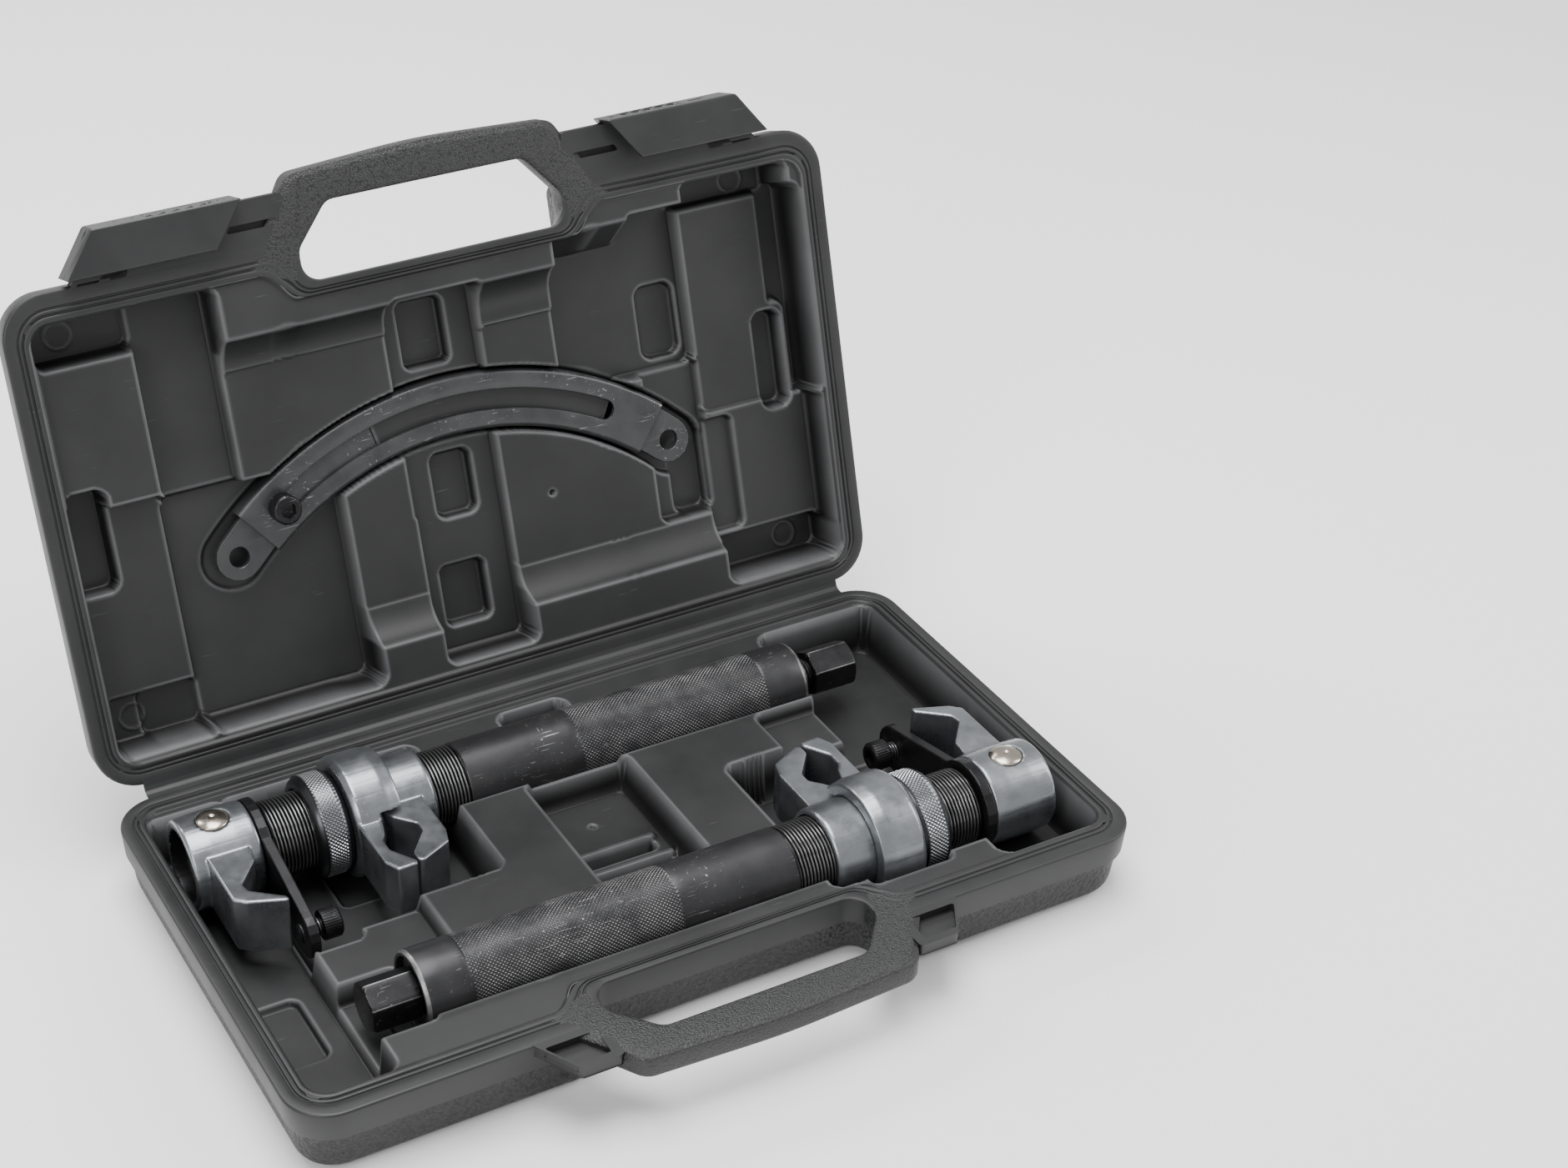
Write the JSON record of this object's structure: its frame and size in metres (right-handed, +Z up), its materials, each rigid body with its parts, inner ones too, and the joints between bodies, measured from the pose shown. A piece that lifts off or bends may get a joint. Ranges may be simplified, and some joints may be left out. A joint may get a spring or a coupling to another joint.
{
  "type": "coil spring compressor",
  "caption": "Spindle-type coil spring compressor kit with screw-driven jaws and a curved link bar, stowed in an open moulded carrying case.",
  "frame": {"origin": "centre of the flat underside of the case's base", "axes": "+X along the case's width and the spindle axes, towards the front spindle's head; +Y from the handle towards the hinge; +Z up"},
  "size_m": [0.4688, 0.417, 0.3294],
  "materials": {
    "case_plastic": "charcoal satin blow-moulded plastic, leather grain outside",
    "latch_plastic": "charcoal satin moulded plastic",
    "black_steel": "black phosphated steel, worn bright on the knurl",
    "silver_casting": "silver-grey coated casting",
    "nickel": "warm nickel-plated steel",
    "oxide_steel": "black oxide steel",
    "bar_steel": "dark coated pressed steel with fine scratches"
  },
  "bodies": {
    "case_base_body": {"case_base": "case_plastic", "hinge_web": "case_plastic"},
    "case_lid_body": {"case_lid": "case_plastic"},
    "latch_left_body": {"latch_left": "latch_plastic"},
    "latch_right_body": {"latch_right": "latch_plastic"},
    "rear_tube_group": {"rear_tube": "black_steel", "rear_end_bush": "oxide_steel", "rear_thrust_bearing": "nickel", "rear_hub_jaw": "silver_casting"},
    "rear_head_group": {"rear_inner_rod": "oxide_steel", "rear_head_jaw": "silver_casting", "rear_cross_pin": "nickel", "rear_lock_plate": "oxide_steel"},
    "rear_ring_jaw_body": {"rear_ring_jaw": "silver_casting"},
    "rear_ring_nut_body": {"rear_ring_nut": "silver_casting"},
    "rear_drive_screw_body": {"rear_drive_screw": "oxide_steel"},
    "rear_lock_screw_body": {"rear_lock_screw": "oxide_steel"},
    "front_tube_group": {"front_tube": "black_steel", "front_end_bush": "oxide_steel", "front_thrust_bearing": "nickel", "front_hub_jaw": "silver_casting"},
    "front_head_group": {"front_inner_rod": "oxide_steel", "front_head_jaw": "silver_casting", "front_cross_pin": "nickel", "front_lock_plate": "oxide_steel"},
    "front_ring_jaw_body": {"front_ring_jaw": "silver_casting"},
    "front_ring_nut_body": {"front_ring_nut": "silver_casting"},
    "front_drive_screw_body": {"front_drive_screw": "oxide_steel"},
    "front_lock_screw_body": {"front_lock_screw": "oxide_steel"},
    "link_bar_body": {"link_channel": "bar_steel", "link_end_tab": "bar_steel"},
    "link_slider_body": {"link_slider": "bar_steel", "clamp_nut": "oxide_steel"},
    "clamp_screw_body": {"clamp_screw": "oxide_steel"}
  },
  "joints": [
    {"name": "lid_hinge", "type": "hinge", "parent": "case_base_body", "child": "case_lid_body", "pos_m": [0, 0.13525, 0.042], "axis": [-1, 0, 0], "range_deg": [-108, 0]},
    {"name": "latch_left_slide", "type": "slide", "parent": "case_lid_body", "child": "latch_left_body", "axis": [1, 0, 0], "range_m": [0, 0.018]},
    {"name": "latch_right_slide", "type": "slide", "parent": "case_lid_body", "child": "latch_right_body", "axis": [-1, 0, 0], "range_m": [0, 0.018]},
    {"name": "rear_lift_out", "type": "slide", "parent": "case_base_body", "child": "rear_tube_group", "axis": [0.1736, 0, 0.9848], "range_m": [0, 0.6]},
    {"name": "rear_rod_stroke", "type": "slide", "parent": "rear_tube_group", "child": "rear_head_group", "axis": [-1, 0, 0], "range_m": [0, 0.2]},
    {"name": "rear_drive_screw_turn", "type": "hinge", "parent": "rear_tube_group", "child": "rear_drive_screw_body", "pos_m": [0, 0.075, 0.037], "axis": [-1, 0, 0], "range_deg": [0, 28800.5]},
    {"name": "rear_clamp_travel", "type": "slide", "parent": "rear_tube_group", "child": "rear_ring_jaw_body", "axis": [-1, 0, 0], "range_m": [0, 0.01]},
    {"name": "rear_ring_nut_turn", "type": "hinge", "parent": "rear_ring_jaw_body", "child": "rear_ring_nut_body", "pos_m": [0, 0.075, 0.037], "axis": [-1, 0, 0], "range_deg": [0, 1800]},
    {"name": "rear_lock_screw_turn", "type": "hinge", "parent": "rear_head_group", "child": "rear_lock_screw_body", "pos_m": [0, 0.009, 0.0289], "axis": [-1, 0, 0], "continuous": true},
    {"name": "front_lift_out", "type": "slide", "parent": "case_base_body", "child": "front_tube_group", "axis": [-0.1736, 0, 0.9848], "range_m": [0, 0.6]},
    {"name": "front_rod_stroke", "type": "slide", "parent": "front_tube_group", "child": "front_head_group", "axis": [1, 0, 0], "range_m": [0, 0.2]},
    {"name": "front_drive_screw_turn", "type": "hinge", "parent": "front_tube_group", "child": "front_drive_screw_body", "pos_m": [0, -0.0655, 0.037], "axis": [1, 0, 0], "range_deg": [0, 28800.5]},
    {"name": "front_clamp_travel", "type": "slide", "parent": "front_tube_group", "child": "front_ring_jaw_body", "axis": [1, 0, 0], "range_m": [0, 0.01]},
    {"name": "front_ring_nut_turn", "type": "hinge", "parent": "front_ring_jaw_body", "child": "front_ring_nut_body", "pos_m": [0, -0.0655, 0.037], "axis": [1, 0, 0], "range_deg": [0, 1800]},
    {"name": "front_lock_screw_turn", "type": "hinge", "parent": "front_head_group", "child": "front_lock_screw_body", "pos_m": [0, 0.0005, 0.0289], "axis": [1, 0, 0], "continuous": true},
    {"name": "link_bar_lift_out", "type": "slide", "parent": "case_lid_body", "child": "link_bar_body", "axis": [0, -0.9511, 0.309], "range_m": [0, 0.1]},
    {"name": "link_bar_extend", "type": "hinge", "parent": "link_bar_body", "child": "link_slider_body", "pos_m": [0, 0.14785, 0.00215], "axis": [0, 0.9511, -0.309], "range_deg": [0, 30]},
    {"name": "clamp_screw_turn", "type": "hinge", "parent": "link_slider_body", "child": "clamp_screw_body", "pos_m": [-0.10348, 0.19329, 0.15494], "axis": [0, 0.9511, -0.309], "continuous": true}
  ],
  "couplings": [
    {"joint": "rear_rod_stroke", "follows": "rear_lift_out", "ratio": 0.33333},
    {"joint": "rear_drive_screw_turn", "follows": "rear_lift_out", "rad_per_m": 837.76},
    {"joint": "rear_clamp_travel", "follows": "rear_ring_nut_turn", "m_per_rad": 0.00031831},
    {"joint": "front_rod_stroke", "follows": "front_lift_out", "ratio": 0.33333},
    {"joint": "front_drive_screw_turn", "follows": "front_lift_out", "rad_per_m": 837.76},
    {"joint": "front_clamp_travel", "follows": "front_ring_nut_turn", "m_per_rad": 0.00031831}
  ]
}
